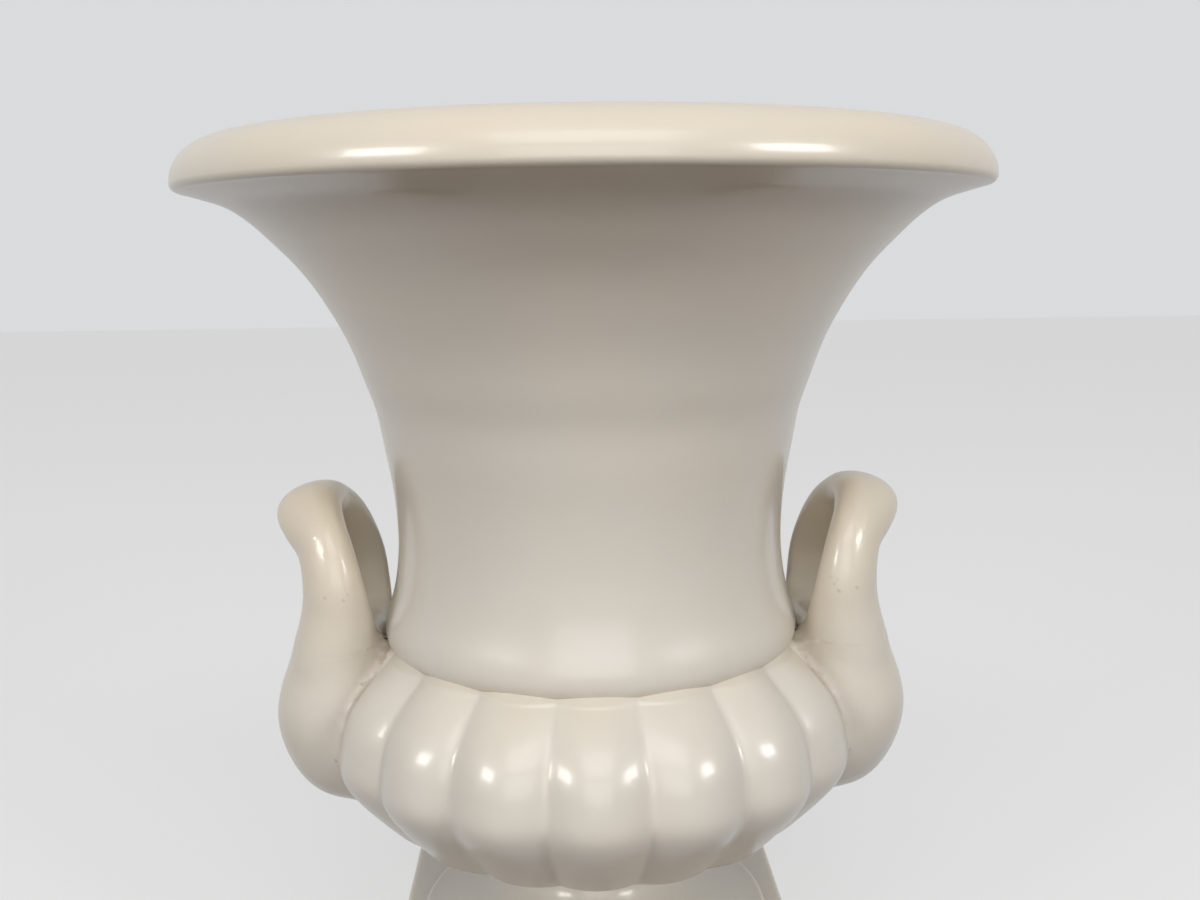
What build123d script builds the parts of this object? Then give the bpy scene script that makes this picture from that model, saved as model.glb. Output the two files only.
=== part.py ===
# Two-handled urn vase in satin glazed pottery.
# Trumpet neck, gadrooned bowl, two loop handles, round foot and square plinth,
# each its own piece, joined with thin layers of fired slip.
# Millimetres. +Z up, handles along X, one lobe of the bowl faces -Y.
# The origin is the middle of the plinth's underside.
from build123d import *
import math
import os

# Driving sizes of the whole vase
wall = 5.5                   # thickness of the neck and of the bowl behind its grooves
slip = 0.6                   # fired slip between two pieces
edge_round = 1.6             # softening that the glaze gives an outer edge
overrun = 2.0                # how far a cutter passes the face that it cuts

# Square plinth
plinth_width = 107.0
plinth_height = 14.0
plinth_corner = 3.0          # radius of the four upright corners
plinth_rim = 8.0             # width of the dry ring that stands on the table
plinth_web = 6.0             # thickness of the top over the recess

# Round foot
foot_height = 23.8
foot_radius = 47.5
foot_edge = 2.4              # height of the rounded rim of the foot
stem_radius = 20.5           # under the bowl
stem_waist = 17.5
tenon_radius = 30.0          # ring under the foot that drops into the plinth
tenon_depth = 3.5
foot_hollow_radius = 24.0
foot_hollow_height = 10.0

# Gadrooned bowl
lobe_count = 18
bowl_height = 58.0
bowl_radius = 70.7           # over the lobes at their widest
bowl_root_radius = 21.0      # where the lobes run out above the foot
groove_depth = 3.6           # lobe crest to groove at the widest
bowl_floor = 7.0             # thickness of the bowl's floor
boss_radius = 12.0           # round boss under the bowl, let into the foot
boss_depth = 5.0

# Trumpet neck and its rolled lip
neck_height = 113.0          # seam with the bowl to the lip's lower edge
rim_radius = 100.0
waist_radius = 50.3
neck_foot_radius = 53.0      # at the seam with the bowl
lip_height = 12.0
lip_roll = 11.5              # how far the lip's face rolls in
lip_edge = 1.8               # height of the narrow bevel at the lip's lower edge
spigot_depth = 4.0           # tongue under the neck, let into the bowl
spigot_step = 2.8            # width of the shoulder outside the tongue

# Loop handles
handle_reach = 82.0          # vase axis to the outermost point of the crest
handle_root = 50.0           # vase axis to the buried end of the heel
handle_heel_drop = 20.0      # lowest point of the heel under the bowl's widest level
handle_rise = 87.6           # lowest point of the heel to the top of the crest
handle_spread = 25.8         # middle plane to the outer side of a leg
strap_width = 18.6           # across the strap at the crest
strap_thickness = 11.2       # through the strap at the crest

# Bowl: height above the root, radius between root and widest, depth of the groove
bowl_outline_shares = [
    (0.000, 0.000, 0.04),
    (0.010, 0.014, 0.05),
    (0.028, 0.135, 0.17),
    (0.060, 0.302, 0.31),
    (0.103, 0.474, 0.47),
    (0.140, 0.574, 0.57),
    (0.170, 0.644, 0.65),
    (0.205, 0.704, 0.72),
    (0.245, 0.752, 0.78),
    (0.300, 0.812, 0.85),
    (0.368, 0.882, 0.92),
    (0.438, 0.947, 0.97),
    (0.535, 1.000, 1.00),
    (0.625, 0.993, 1.00),
    (0.710, 0.968, 0.97),
    (0.790, 0.920, 0.92),
    (0.860, 0.850, 0.84),
    (0.925, 0.768, 0.68),
    (0.975, 0.695, 0.46),
    (1.000, 0.652, 0.30),
]
widest_share = 0.535

# Neck: height above the seam, radius between waist and rim
neck_outline_shares = [
    (0.035, 0.080),
    (0.075, 0.052),
    (0.119, 0.025),
    (0.164, 0.009),
    (0.217, 0.000),
    (0.279, 0.003),
    (0.349, 0.017),
    (0.455, 0.057),
    (0.535, 0.092),
    (0.588, 0.134),
    (0.642, 0.176),
    (0.696, 0.227),
    (0.748, 0.290),
    (0.801, 0.364),
    (0.853, 0.455),
    (0.896, 0.549),
    (0.928, 0.623),
    (0.953, 0.693),
    (0.972, 0.765),
    (0.987, 0.862),
]
lip_start_share = 0.964      # radius between waist and rim where the lip's lower edge begins

# Foot: height above its underside, radius between stem waist and rim
foot_outline_shares = [
    (0.105, 0.900),
    (0.150, 0.680),
    (0.235, 0.420),
    (0.380, 0.180),
    (0.560, 0.035),
    (0.750, 0.000),
]

# Heel of a handle, from its end inside the bowl up to the floor of the finger loop:
# place between root and reach, height in the rise, width and spread against the strap's
heel_station_shares = [
    (0.000, 0.217, 2.040, 0.66),
    (0.287, 0.223, 1.957, 0.78),
    (0.506, 0.291, 1.882, 0.87),
    (0.569, 0.399, 1.581, 0.94),
    (0.506, 0.496, 1.247, 0.96),
    (0.466, 0.580, 1.043, 0.90),
]
heel_station_turns = [-90, -68, -42, -18, -4, 0]
heel_round_share = 0.48      # corner radius of a heel section against its narrow side

# One leg of the loop, from inside the heel to the crest:
# place between root and reach, place in the spread, height in the rise,
# width and thickness against the strap's own at the crest
leg_station_shares = [
    (0.490, 0.520, 0.456, 1.180, 1.950),
    (0.456, 0.585, 0.569, 1.108, 1.850),
    (0.428, 0.647, 0.657, 0.957, 1.571),
    (0.453, 0.745, 0.744, 0.806, 1.196),
    (0.509, 0.670, 0.832, 0.774, 1.054),
    (0.634, 0.400, 0.899, 0.882, 0.982),
    (0.719, 0.000, 0.931, 1.000, 1.000),
]
leg_station_turns = [0, 0, -4, -12, -20, -17, -18]

# Levels worked out from the sizes
foot_base_z = plinth_height + slip
foot_top_z = foot_base_z + foot_height
bowl_base_z = foot_top_z + slip
bowl_top_z = bowl_base_z + bowl_height
neck_base_z = bowl_top_z + slip
lip_base_z = neck_base_z + neck_height
lip_top_z = lip_base_z + lip_height
widest_z = bowl_base_z + widest_share * bowl_height
heel_z = widest_z - handle_heel_drop


def shifted(points, distance):
    """The points of an outline moved square to it by a distance, to its left."""
    moved = []
    for i, (r, z) in enumerate(points):
        before = points[max(i - 1, 0)]
        after = points[min(i + 1, len(points) - 1)]
        dr, dz = after[0] - before[0], after[1] - before[1]
        length = math.hypot(dr, dz)
        moved.append((r - distance * dz / length, z + distance * dr / length))
    return moved


def bowl_level(share, bulge_share, groove_share):
    """Height, crest radius and groove radius of the bowl at one level."""
    crest = bowl_root_radius + bulge_share * (bowl_radius - bowl_root_radius)
    return bowl_base_z + share * bowl_height, crest, crest - groove_share * groove_depth


def lobe_arcs(crest, groove):
    """Start, middle and end of each lobe's arc in a closed ring, with a lobe facing -Y."""
    pitch = 2 * math.pi / lobe_count
    arcs = []
    for i in range(lobe_count):
        middle = i * pitch - math.pi / 2
        ends = [(groove * math.cos(a), groove * math.sin(a)) for a in (middle - pitch / 2, middle + pitch / 2)]
        arcs.append((ends[0], (crest * math.cos(middle), crest * math.sin(middle)), ends[1]))
    return arcs


def lobed_body(growth):
    """The bowl's lobes as one solid, grown outwards by a thickness."""
    with BuildPart() as body:
        for shares in bowl_outline_shares:
            z, crest, groove = bowl_level(*shares)
            with BuildSketch(Plane.XY.offset(z)):
                with BuildLine():
                    for arc in lobe_arcs(crest + growth, groove + growth):
                        ThreePointArc(*arc)
                make_face()
        loft()
    return body.part


# Square plinth, hollow below, with the hole that takes the foot's tenon
with BuildPart() as square_plinth:
    with BuildSketch():
        RectangleRounded(plinth_width, plinth_width, plinth_corner)
    extrude(amount=plinth_height)
    fillet(square_plinth.faces().sort_by(Axis.Z)[-1].edges(), radius=edge_round)
    recess_width = plinth_width - 2 * plinth_rim
    with BuildSketch():
        RectangleRounded(recess_width, recess_width, plinth_corner)
    extrude(amount=plinth_height - plinth_web, mode=Mode.SUBTRACT)
    with Locations((0, 0, plinth_height)):
        CounterBoreHole(
            radius=tenon_radius - plinth_rim / 2,
            counter_bore_radius=tenon_radius + slip,
            counter_bore_depth=tenon_depth,
        )
square_plinth.part.label = "square_plinth"

# Round foot: a flared disc that draws in to a short stem
foot_points = [
    (stem_waist + flare * (foot_radius - stem_waist), foot_base_z + share * foot_height)
    for share, flare in foot_outline_shares
]
foot_hollow_base = foot_base_z - tenon_depth
foot_hollow_top = foot_base_z + foot_hollow_height
socket_base_z = foot_top_z - boss_depth - slip
foot_flat_radius = foot_radius - foot_edge / 2
with BuildPart() as round_foot:
    with BuildSketch(Plane.XZ):
        with BuildLine():
            Polyline((0, foot_hollow_top), (boss_radius, foot_hollow_top))
            Spline((boss_radius, foot_hollow_top), (foot_hollow_radius, foot_base_z), tangents=[(1, 0), (0, -1)])
            Polyline(
                (foot_hollow_radius, foot_base_z),
                (foot_hollow_radius, foot_hollow_base),
                (tenon_radius, foot_hollow_base),
                (tenon_radius, foot_base_z),
                (foot_flat_radius, foot_base_z),
            )
            ThreePointArc(
                (foot_flat_radius, foot_base_z),
                (foot_radius, foot_base_z + foot_edge / 2),
                (foot_flat_radius, foot_base_z + foot_edge),
            )
            Spline((foot_flat_radius, foot_base_z + foot_edge), *foot_points, (stem_radius, foot_top_z))
            Polyline(
                (stem_radius, foot_top_z),
                (boss_radius + slip, foot_top_z),
                (boss_radius + slip, socket_base_z),
                (0, socket_base_z),
                (0, foot_hollow_top),
            )
        make_face()
    revolve(axis=Axis.Z)
round_foot.part.label = "round_foot"

# Gadrooned bowl: lobes outside, smooth and round inside
lobes = lobed_body(0)
lobes_with_slip = lobed_body(slip)
seam_radius = neck_foot_radius - spigot_step
bore_radius = neck_foot_radius - wall
cavity_points = []
for shares in bowl_outline_shares:
    z, crest, groove = bowl_level(*shares)
    if groove > bore_radius and z < widest_z + bowl_height / 3:
        cavity_points.append((groove, z))
cavity_points = shifted(cavity_points, wall)
cavity_floor_z = bowl_base_z + bowl_floor
with BuildPart() as gadrooned_bowl:
    add(lobes)
    with BuildSketch(Plane.XZ):
        with BuildLine():
            Spline((0, cavity_floor_z), *cavity_points, (bore_radius, bowl_top_z - spigot_depth - slip),
                   tangents=[(1, 0), (-1, 1)])
            Polyline(
                (bore_radius, bowl_top_z - spigot_depth - slip),
                (seam_radius + slip, bowl_top_z - spigot_depth - slip),
                (seam_radius + slip, bowl_top_z + overrun),
                (0, bowl_top_z + overrun),
                (0, cavity_floor_z),
            )
        make_face()
    revolve(axis=Axis.Z, mode=Mode.SUBTRACT)
    with BuildSketch(Plane.XY.offset(bowl_base_z)):
        Circle(boss_radius)
    extrude(amount=-(boss_depth + slip))
gadrooned_bowl.part.label = "gadrooned_bowl"

# Trumpet neck with the rolled lip and the tongue that drops into the bowl
neck_points = [
    (waist_radius + flare * (rim_radius - waist_radius), neck_base_z + share * neck_height)
    for share, flare in neck_outline_shares
]
bore_points = [p for p in shifted(neck_points, wall) if p[1] < lip_base_z]
lip_start = waist_radius + lip_start_share * (rim_radius - waist_radius)
bore_lead = Vector(*bore_points[-2]) - Vector(*bore_points[-1])
lip_crown_radius = rim_radius - lip_roll
with BuildPart() as trumpet_neck:
    with BuildSketch(Plane.XZ):
        with BuildLine():
            Polyline(
                (bore_radius, neck_base_z - spigot_depth),
                (seam_radius, neck_base_z - spigot_depth),
                (seam_radius, neck_base_z),
                (neck_foot_radius, neck_base_z),
            )
            Spline((neck_foot_radius, neck_base_z), *neck_points, (lip_start, lip_base_z))
            Line((lip_start, lip_base_z), (rim_radius, lip_base_z + lip_edge))
            EllipticalCenterArc((lip_crown_radius, lip_base_z + lip_edge), lip_roll, lip_height - lip_edge,
                                start_angle=0, arc_size=90)
            Spline((lip_crown_radius, lip_top_z), bore_points[-1], tangents=[(-1, 0), bore_lead])
            Spline(*reversed(bore_points), (bore_radius, neck_base_z), tangents=[bore_lead, (0, -1)])
            Line((bore_radius, neck_base_z), (bore_radius, neck_base_z - spigot_depth))
        make_face()
    revolve(axis=Axis.Z)
trumpet_neck.part.label = "trumpet_neck"

# Fired slip in the three round seams
with BuildPart() as neck_slip_joint:
    with BuildSketch(Plane.XZ):
        with BuildLine():
            Polyline(
                (bore_radius, neck_base_z - spigot_depth),
                (seam_radius, neck_base_z - spigot_depth),
                (seam_radius, neck_base_z),
                (neck_foot_radius, neck_base_z),
                (neck_foot_radius, bowl_top_z),
                (seam_radius + slip, bowl_top_z),
                (seam_radius + slip, bowl_top_z - spigot_depth - slip),
                (bore_radius, bowl_top_z - spigot_depth - slip),
                close=True,
            )
        make_face()
    revolve(axis=Axis.Z)
neck_slip_joint.part.label = "neck_slip_joint"

with BuildPart() as foot_slip_joint:
    with BuildSketch(Plane.XZ):
        with BuildLine():
            Polyline(
                (boss_radius, bowl_base_z),
                (stem_radius, bowl_base_z),
                (stem_radius, foot_top_z),
                (boss_radius + slip, foot_top_z),
                (boss_radius + slip, socket_base_z),
                (boss_radius, socket_base_z),
                close=True,
            )
        make_face()
    revolve(axis=Axis.Z)
foot_slip_joint.part.label = "foot_slip_joint"

with BuildPart() as plinth_slip_joint:
    with BuildSketch(Plane.XZ):
        with BuildLine():
            Polyline(
                (tenon_radius, foot_base_z),
                (foot_radius - foot_edge, foot_base_z),
                (foot_radius - foot_edge, plinth_height),
                (tenon_radius + slip, plinth_height),
                (tenon_radius + slip, foot_hollow_base),
                (tenon_radius, foot_hollow_base),
                close=True,
            )
        make_face()
    revolve(axis=Axis.Z)
plinth_slip_joint.part.label = "plinth_slip_joint"


def handle_place(along, out, up):
    """A point of the right handle from its shares."""
    return Vector(
        handle_root + along * (handle_reach - handle_root),
        out * handle_spread,
        heel_z + up * handle_rise,
    )


def section_planes(middles, turns):
    """A plane across the handle at each middle, with its x axis along the strap's width."""
    planes = []
    for i, middle in enumerate(middles):
        travel = middles[min(i + 1, len(middles) - 1)] - middles[max(i - 1, 0)]
        turn = math.radians(turns[i])
        across = Vector(math.cos(turn), 0, math.sin(turn))
        normal = travel - across * travel.dot(across)
        planes.append(Plane(origin=middle, x_dir=across, z_dir=normal))
    return planes


def cut_to_lobes(blank):
    """A blank of the handle less the lobes and the slip on them."""
    with BuildPart() as cut:
        add(blank)
        add(lobes_with_slip, mode=Mode.SUBTRACT)
    return cut.part


def slip_under(blank):
    """The slip between a blank of the handle and the lobes."""
    with BuildPart() as skin:
        add(blank)
        add(lobes, mode=Mode.SUBTRACT)
        add(lobes_with_slip, mode=Mode.INTERSECT)
    return skin.part


# Blanks of the right handle: the heel, and the loop that rises from inside it
heel_middles = [handle_place(along, 0, up) for along, up, wide, spread in heel_station_shares]
near_leg = [handle_place(along, -out, up) for along, out, up, wide, thick in leg_station_shares]
far_leg = [Vector(point.X, -point.Y, point.Z) for point in reversed(near_leg[:-1])]
leg_sizes = [(wide * strap_width / 2, thick * strap_thickness / 2) for *place, wide, thick in leg_station_shares]
loop_sizes = leg_sizes + leg_sizes[-2::-1]
loop_turns = leg_station_turns + leg_station_turns[-2::-1]
with BuildPart() as heel_blank:
    heel_planes = section_planes(heel_middles, heel_station_turns)
    for plane, (along, up, wide, spread) in zip(heel_planes, heel_station_shares):
        heel_size = (wide * strap_width, 2 * spread * handle_spread)
        with BuildSketch(plane):
            RectangleRounded(*heel_size, heel_round_share * min(heel_size))
    loft()
with BuildPart() as loop_blank:
    for plane, (half_width, half_thickness) in zip(section_planes(near_leg + far_leg, loop_turns), loop_sizes):
        with BuildSketch(plane):
            Ellipse(half_width, half_thickness)
    loft()

# Right handle, and the slip under its heel
with BuildPart() as right_handle:
    add(cut_to_lobes(heel_blank.part))
    add(cut_to_lobes(loop_blank.part))
right_handle.part.label = "right_handle"

with BuildPart() as right_handle_slip_joint:
    add(slip_under(heel_blank.part))
    add(slip_under(loop_blank.part))
right_handle_slip_joint.part.label = "right_handle_slip_joint"

# The left ones are their mirror images
with BuildPart() as left_handle:
    mirror(right_handle.part, about=Plane.YZ)
left_handle.part.label = "left_handle"

with BuildPart() as left_handle_slip_joint:
    mirror(right_handle_slip_joint.part, about=Plane.YZ)
left_handle_slip_joint.part.label = "left_handle_slip_joint"

pieces = [
    square_plinth, plinth_slip_joint, round_foot, foot_slip_joint,
    gadrooned_bowl, neck_slip_joint, trumpet_neck,
    left_handle_slip_joint, left_handle, right_handle_slip_joint, right_handle,
]
os.makedirs("parts", exist_ok=True)
for piece in pieces:
    export_step(piece.part, "parts/" + piece.part.label + ".step")
    print(piece.part.label, round(piece.part.volume), len(piece.part.solids()))
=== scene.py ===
import math

import bpy
import numpy as np
from mathutils import Matrix, Vector


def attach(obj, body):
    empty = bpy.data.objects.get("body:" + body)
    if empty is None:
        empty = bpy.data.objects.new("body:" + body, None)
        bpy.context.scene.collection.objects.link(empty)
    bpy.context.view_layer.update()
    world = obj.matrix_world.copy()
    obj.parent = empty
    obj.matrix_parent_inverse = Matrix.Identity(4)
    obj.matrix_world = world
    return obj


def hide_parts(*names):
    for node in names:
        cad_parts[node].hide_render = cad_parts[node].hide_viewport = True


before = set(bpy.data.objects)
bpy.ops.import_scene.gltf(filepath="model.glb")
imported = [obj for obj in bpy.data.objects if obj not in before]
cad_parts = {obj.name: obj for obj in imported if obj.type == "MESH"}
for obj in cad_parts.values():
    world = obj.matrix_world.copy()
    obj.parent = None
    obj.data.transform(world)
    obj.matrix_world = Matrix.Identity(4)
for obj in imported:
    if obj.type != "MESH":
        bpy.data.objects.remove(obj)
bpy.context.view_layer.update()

MM = 0.001

# Sizes of the vase in millimetres, as the solids have them
WALL = 5.5
PLINTH_WIDTH, PLINTH_HEIGHT, PLINTH_CORNER = 107.0, 14.0, 3.0
PLINTH_RIM, PLINTH_WEB, PLINTH_EDGE = 8.0, 6.0, 1.8
FOOT_BASE, FOOT_TOP, FOOT_RADIUS, FOOT_EDGE = 14.6, 38.4, 47.5, 2.4
STEM_RADIUS, STEM_WAIST = 20.5, 17.5
TENON_RADIUS, TENON_DEPTH = 30.0, 3.5
FOOT_HOLLOW_RADIUS, FOOT_HOLLOW_HEIGHT = 24.0, 10.0
LOBES = 18
BOWL_BASE, BOWL_TOP = 39.0, 97.0
BOWL_RADIUS, BOWL_ROOT, GROOVE_DEPTH, BOWL_FLOOR = 70.7, 21.0, 3.6, 7.0
NECK_BASE, LIP_BASE, LIP_TOP = 97.6, 210.6, 222.6
RIM_RADIUS, WAIST_RADIUS, NECK_FOOT_RADIUS = 100.0, 50.3, 53.0
LIP_START, LIP_ROLL, LIP_EDGE, SPIGOT_DEPTH = 98.2, 11.5, 1.8, 4.0
BORE_RADIUS = NECK_FOOT_RADIUS - WALL

# Bowl from its root up: height share, crest's bulge share, groove's depth share
BOWL_OUTLINE = [
    (0.000, 0.000, 0.04), (0.010, 0.014, 0.05), (0.028, 0.135, 0.17), (0.060, 0.302, 0.31), (0.103, 0.474, 0.47),
    (0.140, 0.574, 0.57), (0.170, 0.644, 0.65), (0.205, 0.704, 0.72), (0.245, 0.752, 0.78), (0.300, 0.812, 0.85),
    (0.368, 0.882, 0.92), (0.438, 0.947, 0.97), (0.535, 1.000, 1.00), (0.625, 0.993, 1.00), (0.710, 0.968, 0.97),
    (0.790, 0.920, 0.92), (0.860, 0.850, 0.84), (0.925, 0.768, 0.72), (0.975, 0.695, 0.58), (1.000, 0.652, 0.46),
]
# Thicker glaze along the tops of the lobes: its height, half width and level, and the fine rows that show it
SHOULDER_BEAD, SHOULDER_WIDTH, SHOULDER_HEIGHT = 0.35, 0.55, 95.4
SHOULDER_ROWS = 36
# Neck from its foot up: height share, flare share between waist and rim
NECK_OUTLINE = [
    (0.035, 0.080), (0.075, 0.052), (0.119, 0.025), (0.164, 0.009), (0.217, 0.000), (0.279, 0.003), (0.349, 0.017),
    (0.455, 0.057), (0.535, 0.092), (0.588, 0.134), (0.642, 0.176), (0.696, 0.227), (0.748, 0.290), (0.801, 0.364),
    (0.853, 0.455), (0.896, 0.549), (0.928, 0.623), (0.953, 0.693), (0.972, 0.765), (0.987, 0.862),
]
# Foot of the neck where the glaze pools over the tops of the lobes: radius and height
NECK_SKIRT = [(52.4, 95.6), (53.3, 95.9), (54.0, 96.8), (54.4, 98.2), (54.5, 99.8)]
# Foot from its underside up: height share, flare share between stem and rim
FOOT_OUTLINE = [(0.105, 0.900), (0.150, 0.680), (0.235, 0.420), (0.380, 0.180), (0.560, 0.035), (0.750, 0.000)]
# Heel of the right handle seen along Y: its outline (x, z)
HEEL_OUTLINE = [
    (44.0, 50.2), (50.0, 50.0), (58.0, 50.9), (66.0, 53.6), (73.6, 58.0), (79.0, 64.6), (81.9, 72.5), (82.0, 80.5),
    (79.4, 88.0), (75.0, 94.0), (69.6, 98.2), (64.0, 100.2), (58.5, 100.2), (55.2, 98.0), (54.4, 92.0), (53.0, 84.0),
    (50.0, 76.0), (44.0, 72.0),
]
HEEL_SPREAD = [(50, 20.3), (58, 21.8), (70, 23.6), (82, 24.0), (90, 21.6), (96, 18.0), (101, 15.0)]
HEEL_ROUND = [(50, 15.0), (82, 13.5), (92, 10.0), (101, 6.0)]
# Strap of the loop from low in the heel to the crest: place x, y, z, half width, half thickness,
# lean in degrees, depth left behind the flat inner face, turn of that face towards the neck in degrees
STRAP = [
    (66.8, 8.8, 72.0, 12.2, 13.2, -18, 26, 2), (67.0, 9.8, 80.0, 12.3, 13.2, -17, 25, 3),
    (66.8, 11.0, 88.0, 12.0, 12.8, -10, 16, 8), (66.1, 12.3, 95.0, 11.0, 11.8, -4, 8.5, 18),
    (65.2, 13.9, 101.5, 9.9, 10.2, 0, 5.8, 28), (64.9, 15.4, 108.0, 8.9, 8.4, -4, 4.6, 35),
    (65.4, 16.2, 114.2, 8.4, 7.0, -12, 4.2, 38), (67.1, 14.6, 121.2, 8.0, 6.0, -19, 5.0, 36),
    (70.5, 9.2, 127.4, 8.3, 5.6, -18, 8.5, 22), (73.2, 0.0, 131.1, 9.2, 5.8, -18, 12, 0),
]
STRAP_STEPS = 90        # places along half of the strap
STRAP_END = 17.0        # reach of the strap's rounded lower end inside its heel
ARRIS = 1.3             # rounding of the edge along the loop's flat inner face
SEAM_FILLET = 3.2       # how softly a handle runs into the lobes
LEG_FILLET = 3.5        # how softly the strap runs into its heel
SEAM_SINK = 0.02        # how far a handle's fillet dips under the lobes
HANDLE_DEPTH = 1.0      # how far a handle reaches under the lobes
GRID_STEP = 0.75
SPIGOT_STEP = 2.8       # width of the shoulder outside the neck's tongue
SLIP_JOINT = 0.6        # thickness of the slip between two pieces
SOCKET_RADIUS, SOCKET_DEPTH = 12.6, 5.6     # socket in the foot for the bowl's boss
ROUND_STEPS = 320       # points round the plinth
AXIS_GAP = 0.2          # radius left free along the foot's axis


def spline(points, count):
    """Points spaced evenly along a smooth curve through the given ones."""
    p = np.array(points, float)
    t = np.concatenate([[0], np.cumsum(np.linalg.norm(np.diff(p, axis=0), axis=1))])
    n = len(t)
    h = np.diff(t)
    a = np.zeros((n, n))
    b = np.zeros((n, p.shape[1]))
    a[0, 0] = a[-1, -1] = 1
    for i in range(1, n - 1):
        a[i, i - 1:i + 2] = h[i - 1], 2 * (h[i - 1] + h[i]), h[i]
        b[i] = 6 * ((p[i + 1] - p[i]) / h[i] - (p[i] - p[i - 1]) / h[i - 1])
    m = np.linalg.solve(a, b)
    q = np.linspace(0, t[-1], count)
    k = np.clip(np.searchsorted(t, q, side="right") - 1, 0, n - 2)
    u, v, w = (q - t[k])[:, None], (t[k + 1] - q)[:, None], h[k][:, None]
    bend = (m[k] * v ** 3 + m[k + 1] * u ** 3) / (6 * w)
    return bend + (p[k] / w - m[k] * w / 6) * v + (p[k + 1] / w - m[k + 1] * w / 6) * u


def shifted(points, distance):
    """An outline moved square to itself, to its left."""
    p = np.array(points, float)
    d = np.gradient(p, axis=0)
    d /= np.linalg.norm(d, axis=1)[:, None]
    return p + distance * np.stack([-d[:, 1], d[:, 0]], 1)


def quarter(centre, radii, start, count):
    """A quarter of an ellipse, anticlockwise from a start angle in degrees."""
    a = np.radians(np.linspace(start, start + 90, count))
    return np.stack([centre[0] + radii[0] * np.cos(a), centre[1] + radii[1] * np.sin(a)], 1)


def piece_from(name, points, faces, material, smooth=True):
    """A mesh object at the origin from points in millimetres."""
    mesh = bpy.data.meshes.new(name)
    mesh.from_pydata((np.asarray(points) * MM).tolist(), [], [list(map(int, f)) for f in faces])
    mesh.update()
    mesh.polygons.foreach_set("use_smooth", [smooth] * len(mesh.polygons))
    mesh.materials.append(material)
    obj = bpy.data.objects.new(name, mesh)
    bpy.context.scene.collection.objects.link(obj)
    return obj


def ring_faces(rows, columns, closed):
    """Quads of a tube of rings, joined end to end when closed."""
    last = rows if closed else rows - 1
    i, j = np.meshgrid(np.arange(last), np.arange(columns), indexing="ij")
    a, b = i * columns, ((i + 1) % rows) * columns
    k = (j + 1) % columns
    return np.stack([a + j, a + k, b + k, b + j], -1).reshape(-1, 4)


def turned(name, profile, steps, material, closed=True):
    """A piece of revolution from its closed half outline, drawn anticlockwise about the wall."""
    a = np.linspace(0, 2 * math.pi, steps, endpoint=False)
    p = np.array(profile, float)
    ring = np.stack([np.cos(a), np.sin(a)], 1)
    points = np.concatenate([np.concatenate([r * ring, np.full((steps, 1), z)], 1) for r, z in p])
    return piece_from(name, points, ring_faces(len(p), steps, closed), material)


def mark(obj, name, values):
    """A number for each point of a piece, for its material."""
    layer = obj.data.attributes.new(name, "FLOAT", "POINT")
    layer.data.foreach_set("value", np.asarray(values, np.float32))


def points_of(obj):
    """A piece's points in millimetres."""
    co = np.zeros(len(obj.data.vertices) * 3)
    obj.data.vertices.foreach_get("co", co)
    return co.reshape(-1, 3) / MM


# Outlines

BOWL_FINE = spline([
    (BOWL_BASE + h * (BOWL_TOP - BOWL_BASE), BOWL_ROOT + b * (BOWL_RADIUS - BOWL_ROOT), g * GROOVE_DEPTH)
    for h, b, g in BOWL_OUTLINE
], 288)
BOWL_FINE[:, 1] += SHOULDER_BEAD * np.exp(-((BOWL_FINE[:, 0] - SHOULDER_HEIGHT) / SHOULDER_WIDTH) ** 2)
BOWL_ROWS = np.concatenate([BOWL_FINE[:-SHOULDER_ROWS:3], BOWL_FINE[-SHOULDER_ROWS:]])
NECK_SIDE = [
    (WAIST_RADIUS + f * (RIM_RADIUS - WAIST_RADIUS), NECK_BASE + h * (LIP_BASE - NECK_BASE)) for h, f in NECK_OUTLINE
]
NECK_ROWS = spline([(NECK_FOOT_RADIUS, NECK_BASE)] + NECK_SIDE + [(LIP_START, LIP_BASE)], 110)


def body_radius(z, angle):
    """Radius of the bowl's lobed skin, and of the neck above it, at a height and an angle about the axis."""
    crest = np.interp(z, BOWL_ROWS[:, 0], BOWL_ROWS[:, 1])
    groove = crest - np.interp(z, BOWL_ROWS[:, 0], BOWL_ROWS[:, 2])
    half = math.pi / LOBES
    centre = (crest ** 2 - groove ** 2) / (2 * (crest - groove * math.cos(half)))
    reach = crest - centre
    away = (angle + math.pi / 2 + half) % (2 * half) - half
    lobed = centre * np.cos(away) + np.sqrt(np.maximum(reach ** 2 - (centre * np.sin(away)) ** 2, 0))
    neck = np.interp(z, NECK_ROWS[:, 1], NECK_ROWS[:, 0])
    return np.where(z > (BOWL_TOP + NECK_BASE) / 2, neck, lobed)


def body_distance(p):
    """Roughly how far points lie outside the bowl and neck."""
    radius, angle = np.hypot(p[:, 0], p[:, 1]), np.arctan2(p[:, 1], p[:, 0])
    e = 0.1
    here = body_radius(p[:, 2], angle)
    rise = (body_radius(p[:, 2] + e, angle) - body_radius(p[:, 2] - e, angle)) / (2 * e)
    turn = (body_radius(p[:, 2], angle + e / 50) - body_radius(p[:, 2], angle - e / 50)) / (2 * e / 50) / here
    return (radius - here) / np.sqrt(1 + np.clip(rise, -3, 3) ** 2 + turn ** 2)


# Right handle as a distance from its surface

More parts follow.
